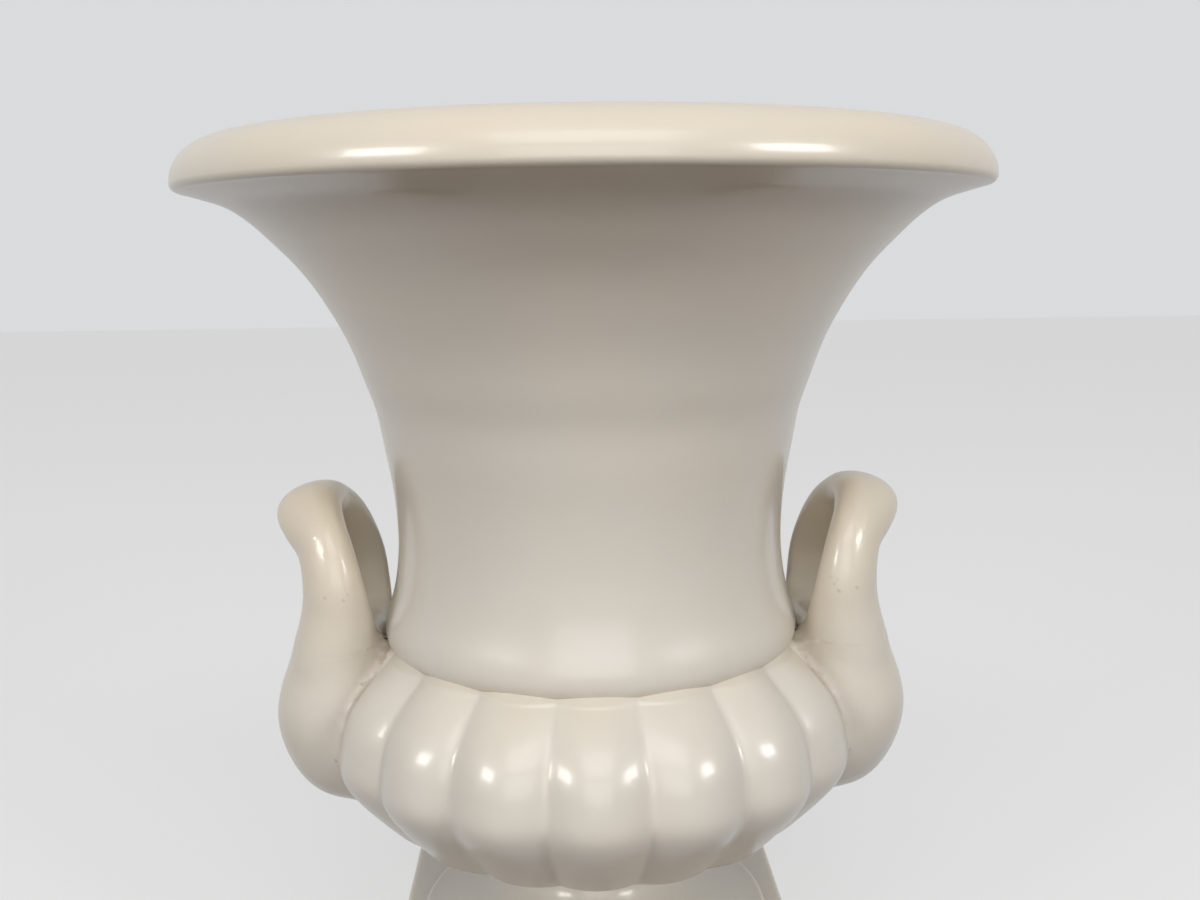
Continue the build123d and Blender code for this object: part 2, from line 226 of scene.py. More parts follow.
FAR_STRAP = [(x, -y, z, wide, thick, lean, flat, -turn) for x, y, z, wide, thick, lean, flat, turn in STRAP[-2::-1]]
WHOLE_STRAP = spline(STRAP + FAR_STRAP, 2 * STRAP_STEPS - 1)
STRAP_ROWS, STRAP_TRAVEL = WHOLE_STRAP[:STRAP_STEPS], np.gradient(WHOLE_STRAP[:, :3], axis=0)[:STRAP_STEPS]
HEEL_SPREAD_ROWS, HEEL_ROUND_ROWS = spline(HEEL_SPREAD, 100), spline(HEEL_ROUND, 100)
HEEL_LINE = np.concatenate([HEEL_OUTLINE[:1], spline(HEEL_OUTLINE[1:-1], 140), HEEL_OUTLINE[-1:]])


def strap_distance(p):
    """How far points lie outside the strap of the loop, round outside and flat inside."""
    rows, travel = STRAP_ROWS, STRAP_TRAVEL
    near = np.zeros(len(p), int)
    for start in range(0, len(p), 20000):
        part = p[start:start + 20000]
        near[start:start + 20000] = ((part[:, None, :] - rows[None, :, :3]) ** 2).sum(-1).argmin(1)
    place = near.astype(float)
    count = np.arange(len(rows))

    def at(x):
        row = np.stack([np.interp(x, count, rows[:, k]) for k in range(8)], 1)
        way = np.stack([np.interp(x, count, travel[:, k]) for k in range(3)], 1)
        return row, way

    for _ in range(3):
        row, way = at(place)
        place = np.clip(place + ((p - row[:, :3]) * way).sum(1) / (way ** 2).sum(1), 0, len(rows) - 1)
    row, way = at(place)
    way /= np.linalg.norm(way, axis=1)[:, None]
    lean, turn = np.radians(row[:, 5]), np.radians(row[:, 7])
    across = np.stack([np.cos(lean), 0 * lean, np.sin(lean)], 1)
    across -= way * (across * way).sum(1)[:, None]
    across /= np.linalg.norm(across, axis=1)[:, None]
    through = np.cross(way, across)
    off = p - row[:, :3]
    x, y = (off * across).sum(1), (off * through).sum(1)
    u, v = x * np.cos(turn) - y * np.sin(turn), y * np.cos(turn) + x * np.sin(turn)
    w = np.where(place <= 0, np.minimum((off * way).sum(1), 0), 0)
    a, b, c = row[:, 3], row[:, 4], STRAP_END
    size = np.sqrt((u / a) ** 2 + (v / b) ** 2 + (w / c) ** 2) + 1e-9
    slope = np.sqrt((u / a ** 2) ** 2 + (v / b ** 2) ** 2 + (w / c ** 2) ** 2) / size + 1e-9
    return -joined(-(size - 1) / slope, v + row[:, 6], ARRIS)


def grid_of(line, low, high, step):
    """Signed distances from a closed flat outline, on a grid of points."""
    x, z = np.arange(low[0], high[0], step), np.arange(low[1], high[1], step)
    part = np.stack(np.meshgrid(x, z, indexing="ij"), -1).reshape(-1, 2)
    a, b = line, np.roll(line, -1, 0)
    far = np.zeros(len(part))
    for start in range(0, len(part), 10000):
        q = part[start:start + 10000]
        w, e = q[:, None, :] - a[None], (b - a)[None]
        t = np.clip((w * e).sum(-1) / (e ** 2).sum(-1), 0, 1)
        d = np.sqrt(((w - t[..., None] * e) ** 2).sum(-1)).min(1)
        up = (a[None, :, 1] > q[:, None, 1]) != (b[None, :, 1] > q[:, None, 1])
        rise = np.where(b[:, 1] == a[:, 1], 1, b[:, 1] - a[:, 1])[None]
        cross = a[None, :, 0] + (q[:, None, 1] - a[None, :, 1]) / rise * (b - a)[None, :, 0]
        inside = (up & (q[:, None, 0] < cross)).sum(1) % 2 == 1
        far[start:start + 10000] = np.where(inside, -d, d)
    return far.reshape(len(x), len(z))


HEEL_LOW, HEEL_STEP = (38.0, 38.0), 0.25
HEEL_GRID = grid_of(HEEL_LINE, HEEL_LOW, (92.0, 146.0), HEEL_STEP)


def heel_distance(p):
    """How far points lie outside the heel: its outline along Y, rounded over at both sides."""
    i = np.clip((p[:, 0] - HEEL_LOW[0]) / HEEL_STEP, 0, HEEL_GRID.shape[0] - 1.001)
    j = np.clip((p[:, 2] - HEEL_LOW[1]) / HEEL_STEP, 0, HEEL_GRID.shape[1] - 1.001)
    i0, j0 = i.astype(int), j.astype(int)
    u, v = i - i0, j - j0
    flat = (HEEL_GRID[i0, j0] * (1 - u) * (1 - v) + HEEL_GRID[i0 + 1, j0] * u * (1 - v)
            + HEEL_GRID[i0, j0 + 1] * (1 - u) * v + HEEL_GRID[i0 + 1, j0 + 1] * u * v)
    spread = np.interp(p[:, 2], *np.transpose(HEEL_SPREAD_ROWS))
    round_over = np.interp(p[:, 2], *np.transpose(HEEL_ROUND_ROWS))
    x, y = flat + round_over, p[:, 1] - spread + round_over
    return np.hypot(np.maximum(x, 0), np.maximum(y, 0)) + np.minimum(np.maximum(x, y), 0) - round_over


def joined(a, b, softness):
    """Two distances joined with a soft hollow between them."""
    h = np.maximum(softness - np.abs(a - b), 0) / softness
    return np.minimum(a, b) - h * h * softness / 4


def handle_distance(p):
    """How far points lie outside the bare right handle, which is alike on both sides of its middle."""
    p = p * (1, 0, 1) + np.abs(p) * (0, 1, 0)
    return joined(strap_distance(p), heel_distance(p), LEG_FILLET)


def handle_skin(p):
    """Negative inside the right handle as it is luted on, with its fillet on the lobes."""
    own, body = handle_distance(p), body_distance(p)
    skin = joined(own, body + SEAM_SINK, SEAM_FILLET)
    return np.maximum(np.maximum(skin, -(body + HANDLE_DEPTH)), own - SEAM_FILLET)


def rough_then_fine(field, grid, shape, step, stride=4):
    """A field on a grid, worked out fully only near the surface."""
    number = np.arange(len(grid)).reshape(shape)
    rough = field(grid[number[::stride, ::stride, ::stride].ravel()])
    rough = rough.reshape([-(-n // stride) for n in shape])
    near = tuple(np.minimum((np.arange(n) + stride // 2) // stride, m - 1) for n, m in zip(shape, rough.shape))
    value = rough[np.ix_(*near)].copy().ravel()
    close = np.flatnonzero(np.abs(value) < 1.3 * stride * step)
    value[close] = field(grid[close])
    return value.reshape(shape)


def surface(field, low, high, step):
    """A closed mesh of quads where a field is zero, with its points drawn onto it."""
    axes = [np.arange(lo, hi + step, step) for lo, hi in zip(low, high)]
    shape = tuple(len(a) for a in axes)
    grid = np.stack(np.meshgrid(*axes, indexing="ij"), -1).reshape(-1, 3)
    value = rough_then_fine(field, grid, shape, step)
    inside = value < 0
    corners = [(i, j, k) for i in (0, 1) for j in (0, 1) for k in (0, 1)]
    cells = tuple(n - 1 for n in shape)
    filled = sum(inside[i:i + cells[0], j:j + cells[1], k:k + cells[2]].astype(int) for i, j, k in corners)
    mixed = (filled > 0) & (filled < 8)
    number = -np.ones(cells, int)
    number[mixed] = np.arange(mixed.sum())
    where = np.argwhere(mixed)
    total, weight = np.zeros((len(where), 3)), np.zeros(len(where))
    for a in corners:
        for axis in range(3):
            if a[axis]:
                continue
            b = tuple(1 if n == axis else a[n] for n in range(3))
            va = value[tuple((where + a).T)]
            vb = value[tuple((where + b).T)]
            cut = (va < 0) != (vb < 0)
            t = np.where(cut, va / np.where(cut, va - vb, 1), 0)
            spot = where + np.array(a) + t[:, None] * (np.array(b) - np.array(a))
            total += np.where(cut[:, None], spot, 0)
            weight += cut
    points = np.array(low) + total / weight[:, None] * step
    faces = []
    for axis in range(3):
        u, v = (axis + 1) % 3, (axis + 2) % 3
        s0 = [slice(1, -1)] * 3
        s0[axis] = slice(0, -1)
        s1 = list(s0)
        s1[axis] = slice(1, None)
        cut = inside[tuple(s0)] != inside[tuple(s1)]
        spots = np.argwhere(cut) + np.array([0 if n == axis else 1 for n in range(3)])
        outward = inside[tuple(spots.T)]
        eu, ev = np.eye(3, dtype=int)[u], np.eye(3, dtype=int)[v]
        quad = np.stack([number[tuple((spots - o).T)] for o in (0 * eu, eu, eu + ev, ev)], 1)
        faces.append(np.where(outward[:, None], quad, quad[:, ::-1]))
    faces = np.concatenate(faces)

    def slope(q, e=0.02):
        return np.stack([(field(q + e * d) - field(q - e * d)) / (2 * e) for d in np.eye(3)], 1)

    for _ in range(2):
        g = slope(points)
        move = (field(points) / np.maximum((g ** 2).sum(1), 0.25))[:, None] * g
        move *= np.minimum(1, 0.5 * step / (np.linalg.norm(move, axis=1)[:, None] + 1e-9))
        points = points - move
    g = slope(points)
    return points, faces, g / np.linalg.norm(g, axis=1)[:, None]


# Materials


def node(tree, kind, place=(0, 0), **values):
    """A node with its properties and unlinked inputs set."""
    made = tree.nodes.new(kind)
    made.location = place
    for key, value in values.items():
        if key.startswith("i_"):
            made.inputs[key[2:].replace("_", " ")].default_value = value
        else:
            setattr(made, key, value)
    return made


def math_node(tree, operation, a, b=None, clamp=False):
    """A sum on numbers or on outputs of other nodes."""
    made = tree.nodes.new("ShaderNodeMath")
    made.operation, made.use_clamp = operation, clamp
    for socket, value in zip(made.inputs, (a, b)):
        if value is None:
            continue
        if isinstance(value, (int, float)):
            socket.default_value = value
        else:
            tree.links.new(value, socket)
    return made.outputs[0]


def mix_colours(tree, factor, a, b):
    """One colour laid over another."""
    made = tree.nodes.new("ShaderNodeMix")
    made.data_type = "RGBA"
    for socket, value in ((made.inputs["Factor"], factor), (made.inputs["A"], a), (made.inputs["B"], b)):
        if isinstance(value, (int, float, tuple)):
            socket.default_value = value
        else:
            tree.links.new(value, socket)
    return made.outputs["Result"]


def spread(tree, value, low, high, to_low=0.0, to_high=1.0):
    """A value eased from one range to another."""
    made = tree.nodes.new("ShaderNodeMapRange")
    made.interpolation_type = "SMOOTHSTEP"
    for name, number in (("From Min", low), ("From Max", high), ("To Min", to_low), ("To Max", to_high)):
        made.inputs[name].default_value = number
    tree.links.new(value, made.inputs["Value"])
    return made.outputs["Result"]


def tone(r, g, b):
    """A colour from the 0 to 255 values that it shows on a screen."""
    return tuple(((v / 255 + 0.055) / 1.055) ** 2.4 if v > 10 else v / 3294 for v in (r, g, b)) + (1.0,)


def glaze_tones():
    """Group: the glaze's colour and gloss over the clay, lighter and warmer towards the pieces' tops and edges, and
    darker in crevices with dirt and painted shade.
    """
    tree = bpy.data.node_groups.new("glaze_tones", "ShaderNodeTree")
    for name, kind, value in (
        # The second colour is a lighter, warmer tone, laid on towards the tops and edges of the pieces.
        ("Body", "NodeSocketColor", tone(219, 213, 202)), ("Thin", "NodeSocketColor", tone(232, 218, 194)),
        # The brown below darkens crevices, both as dirt and as painted shade.
        ("Dirt", "NodeSocketColor", tone(120, 88, 56)), ("Thinness", "NodeSocketFloat", 0.0),
        ("Crevice", "NodeSocketFloat", 0.0),
    ):
        tree.interface.new_socket(name, in_out="INPUT", socket_type=kind).default_value = value
    for name, kind in (("Colour", "NodeSocketColor"), ("Roughness", "NodeSocketFloat")):
        tree.interface.new_socket(name, in_out="OUTPUT", socket_type=kind)
    given = node(tree, "NodeGroupInput", (-1200, 0))
    out = node(tree, "NodeGroupOutput", (900, 0))
    place = node(tree, "ShaderNodeTexCoord", (-1200, -300)).outputs["Object"]
    broad = node(tree, "ShaderNodeTexNoise", (-900, -300), i_Scale=22.0, i_Detail=2.0)
    cloud = node(tree, "ShaderNodeTexNoise", (-900, -500), i_Scale=160.0, i_Detail=4.0)
    grain = node(tree, "ShaderNodeTexNoise", (-900, -700), i_Scale=900.0, i_Detail=3.0)
    cells = node(tree, "ShaderNodeTexVoronoi", (-900, -900), i_Scale=62.0)
    for tex in (broad, cloud, grain, cells):
        tree.links.new(place, tex.inputs["Vector"])
    # Lighter, warmer tone where the per-point mark is high, spread at random by broad noise.
    warm = math_node(tree, "ADD", given.outputs["Thinness"],
                     spread(tree, broad.outputs["Fac"], 0.35, 0.7, -0.10, 0.16), clamp=True)
    colour = mix_colours(tree, warm, given.outputs["Body"], given.outputs["Thin"])
    colour = mix_colours(tree, spread(tree, cloud.outputs["Fac"], 0.35, 0.68, 0.0, 0.03), colour, tone(196, 186, 166))
    rare = node(tree, "ShaderNodeSeparateColor", (-700, -1000))
    tree.links.new(cells.outputs["Color"], rare.inputs[0])
    hole = math_node(tree, "MULTIPLY", spread(tree, cells.outputs["Distance"], 0.024, 0.008),
                     spread(tree, rare.outputs[0], 0.78, 0.80))
    colour = mix_colours(tree, math_node(tree, "MULTIPLY", hole, 0.45), colour, tone(108, 92, 72))
    # Painted shade with real dirt: the crevice mask darkens hollows, seams and contacts towards a brown dirt colour.
    crevice = given.outputs["Crevice"]
    stain_and_shade = math_node(tree, "MULTIPLY", crevice, spread(tree, cloud.outputs["Fac"], 0.30, 0.62, 0.35, 1.0))
    specks_and_shade = math_node(tree, "MULTIPLY", crevice, spread(tree, grain.outputs["Fac"], 0.55, 0.68))
    dirt_and_shade = math_node(tree, "ADD", math_node(tree, "MULTIPLY", stain_and_shade, 0.45),
                      math_node(tree, "MULTIPLY", specks_and_shade, 0.15), clamp=True)
    colour = mix_colours(tree, dirt_and_shade, colour, given.outputs["Dirt"])
    tree.links.new(colour, out.inputs["Colour"])
    matt = math_node(tree, "ADD", spread(tree, broad.outputs["Fac"], 0.3, 0.7, 0.285, 0.32),
                     math_node(tree, "MULTIPLY", dirt_and_shade, 0.35))
    tree.links.new(matt, out.inputs["Roughness"])
    return tree


def glaze_skin():
    """Group: the slight waviness of a fired glaze, as a normal."""
    tree = bpy.data.node_groups.new("glaze_skin", "ShaderNodeTree")
    tree.interface.new_socket("Normal", in_out="OUTPUT", socket_type="NodeSocketVector")
    out = node(tree, "NodeGroupOutput", (600, 0))
    place = node(tree, "ShaderNodeTexCoord", (-900, -300)).outputs["Object"]
    flat = node(tree, "ShaderNodeMapping", (-700, -300))
    flat.inputs["Scale"].default_value = (1.0, 1.0, 2.2)
    tree.links.new(place, flat.inputs["Vector"])
    wave = node(tree, "ShaderNodeTexNoise", (-500, -200), i_Scale=75.0, i_Detail=1.5)
    peel = node(tree, "ShaderNodeTexNoise", (-500, -450), i_Scale=520.0, i_Detail=2.0)
    tree.links.new(flat.outputs[0], wave.inputs["Vector"])
    tree.links.new(flat.outputs[0], peel.inputs["Vector"])
    height = math_node(tree, "ADD", math_node(tree, "MULTIPLY", wave.outputs["Fac"], 0.00005),
                       math_node(tree, "MULTIPLY", peel.outputs["Fac"], 0.000007))
    bump = node(tree, "ShaderNodeBump", (300, 0), i_Distance=1.0)
    tree.links.new(height, bump.inputs["Height"])
    tree.links.new(bump.outputs[0], out.inputs["Normal"])
    return tree


TONES, SKIN = glaze_tones(), glaze_skin()


def group(tree, made, place):
    """One of the glaze's groups, put into a material."""
    n = tree.nodes.new("ShaderNodeGroup")
    n.node_tree, n.location = made, place
    return n


def satin_glaze(name, bare_below=None):
    """Satin off-white glaze, wiped off the clay below a height where one is given."""
    material = bpy.data.materials.new(name)
    material.use_nodes = True
    tree = material.node_tree
    shader = tree.nodes["Principled BSDF"]
    tones, skin = group(tree, TONES, (-500, 200)), group(tree, SKIN, (-500, -200))
    # This mark makes the glaze lighter and warmer towards the tops and edges of the pieces.
    thin = node(tree, "ShaderNodeAttribute", (-1000, 100), attribute_name="thin")
    # The crevice mark lays dirt and painted shade into hollows, seams and contacts.
    crevice = node(tree, "ShaderNodeAttribute", (-1000, -100), attribute_name="crevice")
    tree.links.new(thin.outputs["Fac"], tones.inputs["Thinness"])
    tree.links.new(crevice.outputs["Fac"], tones.inputs["Crevice"])
    colour, rough = tones.outputs["Colour"], tones.outputs["Roughness"]
    if bare_below:
        place = node(tree, "ShaderNodeTexCoord", (-1000, -400)).outputs["Object"]
        split = node(tree, "ShaderNodeSeparateXYZ", (-800, -400))
        tree.links.new(place, split.inputs[0])
        bare = spread(tree, split.outputs["Z"], bare_below * 1.6, bare_below * 0.6)
        colour = mix_colours(tree, bare, colour, tone(206, 186, 158))
        rough = math_node(tree, "ADD", rough, math_node(tree, "MULTIPLY", bare, 0.5), clamp=True)
    tree.links.new(colour, shader.inputs["Base Color"])
    tree.links.new(rough, shader.inputs["Roughness"])
    tree.links.new(skin.outputs["Normal"], shader.inputs["Normal"])
    shader.inputs["IOR"].default_value = 1.5
    shader.inputs["Coat Weight"].default_value = 0.4
    shader.inputs["Coat Roughness"].default_value = 0.1
    return material


def fired_slip():
    """The narrow line of slip between two pieces, under a fine coat of glaze."""
    material = bpy.data.materials.new("fired_slip")
    material.use_nodes = True
    tree = material.node_tree
    shader = tree.nodes["Principled BSDF"]
    tones = group(tree, TONES, (-500, 200))
    tones.inputs["Body"].default_value = tone(206, 199, 184)
    tones.inputs["Crevice"].default_value = 0.12
    tree.links.new(tones.outputs["Colour"], shader.inputs["Base Color"])
    tree.links.new(tones.outputs["Roughness"], shader.inputs["Roughness"])
    return material


GLAZE = satin_glaze("satin_glaze")
BASE_GLAZE = satin_glaze("satin_glaze_base", bare_below=0.6 * MM)
SLIP = fired_slip()

# Trumpet neck with its rolled lip

under = quarter((LIP_START, LIP_BASE + LIP_EDGE), (RIM_RADIUS - LIP_START, LIP_EDGE), -90, 12)
face = quarter((RIM_RADIUS - LIP_ROLL, LIP_BASE + LIP_EDGE), (LIP_ROLL, LIP_TOP - LIP_BASE - LIP_EDGE), 0, 30)
bore = shifted(NECK_ROWS, WALL)
bore = bore[(bore[:, 1] < LIP_BASE) & (bore[:, 1] > NECK_BASE + 3)]
inner = spline([tuple(face[-1]), (86.6, 221.5), (84.9, 218.6), (83.4, 214.0)] + [tuple(q) for q in bore[::-6]]
               + [(BORE_RADIUS, NECK_BASE)], 90)
tongue = [(BORE_RADIUS, NECK_BASE - SPIGOT_DEPTH), (NECK_FOOT_RADIUS - SPIGOT_STEP, NECK_BASE - SPIGOT_DEPTH),
          (NECK_FOOT_RADIUS - SPIGOT_STEP, NECK_BASE - SLIP_JOINT)]
neck_side = spline(NECK_SKIRT + NECK_SIDE + [(LIP_START, LIP_BASE)], 140)
neck_profile = np.concatenate([tongue, neck_side[:-1], under, face[1:], inner[1:]])
trumpet_neck = turned("neck_and_lip", neck_profile, 288, GLAZE)
z = points_of(trumpet_neck)[:, 2]
r = np.hypot(*points_of(trumpet_neck)[:, :2].T)
# Lighter and warmer towards the rim.
mark(trumpet_neck, "thin", np.clip(np.interp(z, [160, 205, 214, 223], [0.0, 0.25, 0.55, 0.85]), 0, 1))
# Painted shade: darker at the neck's foot, along its crease with the bowl.
mark(trumpet_neck, "crevice", 0.16 * np.exp(-np.maximum(z - NECK_BASE, 0) / 1.0) * (r > BORE_RADIUS + 1))

# Gadrooned bowl, as a rule in Geometry Nodes

inner_wall = shifted(np.stack([BOWL_ROWS[:, 1] - BOWL_ROWS[:, 2], BOWL_ROWS[:, 0]], 1), WALL)
inner_wall = inner_wall[(inner_wall[:, 0] > BORE_RADIUS) & (inner_wall[:, 1] < 84) & (inner_wall[:, 1] > 52)]
cavity = spline([(BORE_RADIUS, BOWL_TOP - 1), (BORE_RADIUS, BOWL_TOP - 6)] + [tuple(q) for q in inner_wall[::-6]]
                + [(36.0, 48.2), (20.0, BOWL_BASE + BOWL_FLOOR + 0.4), (0.0, BOWL_BASE + BOWL_FLOOR)], 40)
profile = [(0.0, BOWL_BASE, 0), (12.0, BOWL_BASE, 0), (BOWL_ROOT - 2, BOWL_BASE, 0)]
profile += [(q[1], q[0], q[2]) for q in BOWL_ROWS]
profile += [(52.0, BOWL_TOP + 0.25, 0.5), (50.4, BOWL_TOP + 0.1, 0), (BORE_RADIUS + 0.4, BOWL_TOP, 0)]
profile += [(q[0], q[1], 0) for q in cavity]


def gadroon_tree():
    """Geometry Nodes: turns the outline about the axis, and raises round lobes as deep as each point's groove."""
    tree = bpy.data.node_groups.new("gadrooned_bowl", "GeometryNodeTree")
    for name, kind, value in (
        ("Lobes", "NodeSocketInt", LOBES), ("Steps in a lobe", "NodeSocketInt", 30),
        ("Valley softness", "NodeSocketFloat", 0.55), ("Glaze", "NodeSocketMaterial", None),
    ):
        if name == "Lobes":
            tree.interface.new_socket("Geometry", in_out="INPUT", socket_type="NodeSocketGeometry")
        made = tree.interface.new_socket(name, in_out="INPUT", socket_type=kind)
        if value is not None:
            made.default_value = value
    tree.interface.new_socket("Geometry", in_out="OUTPUT", socket_type="NodeSocketGeometry")
    given = tree.nodes.new("NodeGroupInput")
    out = tree.nodes.new("NodeGroupOutput")

    def calc(operation, a, b=None):
        return math_node(tree, operation, a, b)

    size = tree.nodes.new("GeometryNodeAttributeDomainSize")
    tree.links.new(given.outputs["Geometry"], size.inputs[0])
    rows = size.outputs["Point Count"]
    steps = calc("MULTIPLY", given.outputs["Lobes"], given.outputs["Steps in a lobe"])
    grid = tree.nodes.new("GeometryNodeMeshGrid")
    tree.links.new(calc("ADD", steps, 1), grid.inputs["Vertices X"])
    tree.links.new(rows, grid.inputs["Vertices Y"])
    index = tree.nodes.new("GeometryNodeInputIndex").outputs[0]
    row = calc("MODULO", index, rows)
    column = calc("FLOOR", calc("DIVIDE", calc("ADD", index, 0.5), rows))

    def sampled(kind, value):
        made = tree.nodes.new("GeometryNodeSampleIndex")
        made.data_type, made.domain = kind, "POINT"
        tree.links.new(given.outputs["Geometry"], made.inputs["Geometry"])
        tree.links.new(value, made.inputs["Value"])
        tree.links.new(row, made.inputs["Index"])
        return made.outputs[0]

    split = tree.nodes.new("ShaderNodeSeparateXYZ")
    tree.links.new(sampled("FLOAT_VECTOR", tree.nodes.new("GeometryNodeInputPosition").outputs[0]), split.inputs[0])
    depth_field = tree.nodes.new("GeometryNodeInputNamedAttribute")
    depth_field.data_type = "FLOAT"
    depth_field.inputs["Name"].default_value = "groove"
    depth = sampled("FLOAT", depth_field.outputs["Attribute"])
    crest = split.outputs["X"]
    groove = calc("SUBTRACT", crest, depth)
    turn = calc("MULTIPLY", calc("DIVIDE", column, steps), 2 * math.pi)
    half = calc("DIVIDE", math.pi, given.outputs["Lobes"])
    away = calc("SUBTRACT", calc("MODULO", calc("ADD", turn, half), calc("MULTIPLY", half, 2)), half)
    to_valley = calc("SUBTRACT", half, calc("ABSOLUTE", away))
    soft = calc("DIVIDE", calc("MULTIPLY", given.outputs["Valley softness"], MM), calc("MAXIMUM", groove, 0.004))
    rounded = calc("SQRT", calc("ADD", calc("MULTIPLY", to_valley, to_valley), calc("MULTIPLY", soft, soft)))
    eased = calc("SUBTRACT", half, calc("SUBTRACT", rounded, calc("MULTIPLY", soft, 0.35)))
    eased = calc("MAXIMUM", calc("MINIMUM", eased, half), 0)
    centre = calc("DIVIDE", calc("SUBTRACT", calc("MULTIPLY", crest, crest), calc("MULTIPLY", groove, groove)),
                  calc("MULTIPLY", calc("SUBTRACT", crest, calc("MULTIPLY", groove, calc("COSINE", half))), 2))
    reach = calc("SUBTRACT", crest, centre)
    side = calc("MULTIPLY", centre, calc("SINE", eased))
    rest = calc("SUBTRACT", calc("MULTIPLY", reach, reach), calc("MULTIPLY", side, side))
    lobed = calc("ADD", calc("MULTIPLY", centre, calc("COSINE", eased)), calc("SQRT", calc("MAXIMUM", rest, 0)))
    heading = calc("SUBTRACT", turn, math.pi / 2)
    spot = tree.nodes.new("ShaderNodeCombineXYZ")
    tree.links.new(calc("MULTIPLY", lobed, calc("COSINE", heading)), spot.inputs["X"])
    tree.links.new(calc("MULTIPLY", lobed, calc("SINE", heading)), spot.inputs["Y"])
    tree.links.new(split.outputs["Z"], spot.inputs["Z"])
    placed = tree.nodes.new("GeometryNodeSetPosition")
    tree.links.new(grid.outputs["Mesh"], placed.inputs["Geometry"])
    tree.links.new(spot.outputs[0], placed.inputs["Position"])
    merged = tree.nodes.new("GeometryNodeMergeByDistance")
    merged.inputs["Distance"].default_value = 0.00002
    tree.links.new(placed.outputs[0], merged.inputs["Geometry"])
    smooth = tree.nodes.new("GeometryNodeSetShadeSmooth")
    tree.links.new(merged.outputs[0], smooth.inputs["Geometry"])
    real = tree.nodes.new("GeometryNodeRealizeInstances")
    tree.links.new(smooth.outputs[0], real.inputs["Geometry"])
    coated = tree.nodes.new("GeometryNodeSetMaterial")
    tree.links.new(real.outputs[0], coated.inputs["Geometry"])
    tree.links.new(given.outputs["Glaze"], coated.inputs["Material"])
    tree.links.new(coated.outputs[0], out.inputs[0])
    return tree


outline = bpy.data.meshes.new("bowl_outline")
outline.from_pydata([(q[0] * MM, 0, q[1] * MM) for q in profile], [(i, i + 1) for i in range(len(profile) - 1)], [])
outline.attributes.new("groove", "FLOAT", "POINT").data.foreach_set("value", [q[2] * MM for q in profile])
rule = bpy.data.objects.new("bowl_rule", outline)
bpy.context.scene.collection.objects.link(rule)
modifier = rule.modifiers.new("lobes", "NODES")
modifier.node_group = gadroon_tree()
for item in modifier.node_group.interface.items_tree:
    if item.in_out == "INPUT" and item.name == "Glaze":
        modifier[item.identifier] = GLAZE
bpy.context.view_layer.update()
shaped = bpy.data.meshes.new_from_object(rule.evaluated_get(bpy.context.evaluated_depsgraph_get()))
rule.modifiers.clear()
bpy.data.objects.remove(rule)
shaped.name = "gadrooned_lobes"
gadrooned_bowl = bpy.data.objects.new("gadrooned_lobes", shaped)
bpy.context.scene.collection.objects.link(gadrooned_bowl)
bowl_middle = Vector((0, 0, 0.07))
facing = sum(f.normal.dot(f.center - bowl_middle) * f.area for f in shaped.polygons if math.hypot(*f.center[:2]) > 0.06)
if facing < 0:
    shaped.flip_normals()
p = points_of(gadrooned_bowl)
r = np.hypot(p[:, 0], p[:, 1])
skin_points = (r > 50) & (p[:, 2] < BOWL_TOP + 0.5)
deep = np.clip((np.interp(p[:, 2], BOWL_ROWS[:, 0], BOWL_ROWS[:, 1]) - r) / GROOVE_DEPTH, 0, 1)
high = np.clip((p[:, 2] - 78) / (BOWL_TOP - 78), 0, 1)
near_handle = np.zeros(len(p))
close = np.flatnonzero((np.abs(p[:, 0]) > 44) & (np.abs(p[:, 1]) < 32) & (p[:, 2] > 46))
gap = handle_distance(np.abs(p[close]) * np.array([1, 0, 1]) + p[close] * np.array([0, 1, 0]))
near_handle[close] = np.exp(-np.maximum(gap, 0) / 2.2)
crease = np.exp(-(BOWL_TOP - p[:, 2]) / 1.5)
# Painted shade with some real dirt: darker in the grooves near the top, along the crease under the neck and round the
# handles' seams.
crevice = 0.10 * deep ** 2 * high + 0.15 * crease + 0.8 * near_handle * np.clip((p[:, 2] - 62) / 25, 0.1, 1)
mark(gadrooned_bowl, "crevice", np.where(skin_points, np.clip(crevice, 0, 1), 0))
# Lighter and warmer on the lobes' crests towards the top.
mark(gadrooned_bowl, "thin", 0.18 * (1 - deep) * high)

# Loop handles

points, faces, normals = surface(handle_skin, (44.0, -30.0, 46.0), (86.0, 30.0, 141.0), GRID_STEP)
# Painted shade with some real dirt: darker where the handle runs into the lobes, and more so higher up.
crevice = 0.95 * np.exp(-np.maximum(body_distance(points), 0) / 2.4) * np.clip((points[:, 2] - 62) / 25, 0.08, 1)
# Lighter and warmer up the handle towards its crest.
thin = np.interp(points[:, 2], [70, 100, 118, 132, 138], [0.05, 0.28, 0.55, 0.72, 0.85])
for name, side in (("right_loop_handle", 1), ("left_loop_handle", -1)):
    flip = np.array([side, 1, 1])
    handle = piece_from(name, points * flip, faces if side > 0 else faces[:, ::-1], GLAZE)
    handle.data.normals_split_custom_set_from_vertices((normals * flip).tolist())
    mark(handle, "crevice", crevice)
    mark(handle, "thin", thin)
    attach(handle, "root")
    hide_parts(name.replace("_loop", ""), name.replace("_loop", "") + "_slip_joint")

# Round foot

